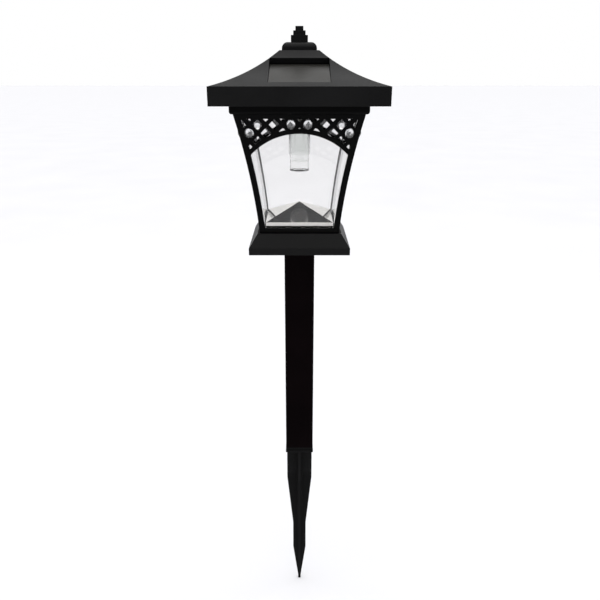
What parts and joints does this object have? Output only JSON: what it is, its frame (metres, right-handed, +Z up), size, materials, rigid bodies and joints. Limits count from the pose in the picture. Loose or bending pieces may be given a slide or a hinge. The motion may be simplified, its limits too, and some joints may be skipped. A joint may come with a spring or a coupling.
{
  "type": "solar path lantern",
  "caption": "Square garden path light: clear lantern in a flared cage under a pagoda roof with a sloping solar panel, on a square tube with a push-in ground stake.",
  "frame": {"origin": "on the axis at ground level, in the plane of the underside of the stake's flange", "axes": "+Z up along the tube; the solar panel's slope faces -Y; +X to the right seen from the front"},
  "size_m": [0.1272, 0.1272, 0.543],
  "materials": {
    "roof_plastic": "satin moulded black",
    "frame_plastic": "satin moulded black",
    "tube_metal": "black powder coat",
    "stake_plastic": "matt moulded black",
    "clear_plastic": "clear polished",
    "bead_clear": "clear domed",
    "light_tube": "clear polished",
    "mirror_metallised": "vacuum metallised",
    "led_resin": "tinted clear resin",
    "panel_glass": "clear potting",
    "silicon": "dark silicon with fine lines",
    "circuit_laminate": "solder mask",
    "chip_black": "moulded",
    "ferrite": "sintered",
    "switch_plastic": "moulded",
    "screw_steel": "zinc plated",
    "contact_nickel": "nickel plated",
    "cell_wrap": "plain shrink wrap",
    "wire_red": "insulation",
    "wire_black": "insulation"
  },
  "bodies": {
    "stake": {"ground_stake": "stake_plastic"},
    "post": {"post_tube": "tube_metal"},
    "lantern": {"base_skirt": "frame_plastic", "cage_side_front": "frame_plastic", "cage_side_right": "frame_plastic", "cage_side_back": "frame_plastic", "cage_side_left": "frame_plastic", "lattice_beads": "bead_clear", "clear_lens": "clear_plastic", "mirror_pyramid": "mirror_metallised"},
    "solar_head": {"roof_shell": "roof_plastic", "finial": "roof_plastic", "finial_screw": "screw_steel", "roof_screws": "screw_steel", "panel_board": "circuit_laminate", "solar_cells": "silicon", "panel_cover": "panel_glass", "roof_tray": "frame_plastic", "led_sleeve": "light_tube", "led_cup": "light_tube", "led": "led_resin", "circuit_board": "circuit_laminate", "board_screws": "screw_steel", "control_chip": "chip_black", "inductor": "ferrite", "slide_switch": "switch_plastic", "rechargeable_cell": "cell_wrap", "contact_plate": "contact_nickel", "contact_spring": "contact_nickel", "panel_wire_red": "wire_red", "panel_wire_black": "wire_black", "cell_wire_red": "wire_red", "cell_wire_black": "wire_black"},
    "door": {"battery_door": "frame_plastic"},
    "knob": {"switch_knob": "switch_plastic"}
  },
  "joints": [
    {"name": "tube_pull_off", "type": "slide", "parent": "stake", "child": "post", "axis": [0, 0, 1], "range_m": [0, 0.028]},
    {"name": "lantern_pull_off", "type": "slide", "parent": "post", "child": "lantern", "axis": [0, 0, 1], "range_m": [0, 0.028]},
    {"name": "head_lift_off", "type": "slide", "parent": "lantern", "child": "solar_head", "axis": [0, 0, 1], "range_m": [0, 0.06]},
    {"name": "battery_door_hinge", "type": "hinge", "parent": "solar_head", "child": "door", "pos_m": [0, 0.02025, 0.3137], "axis": [-1, 0, 0], "range_deg": [0, 90]},
    {"name": "power_switch", "type": "slide", "parent": "solar_head", "child": "knob", "axis": [1, 0, 0], "range_m": [0, 0.003]}
  ]
}
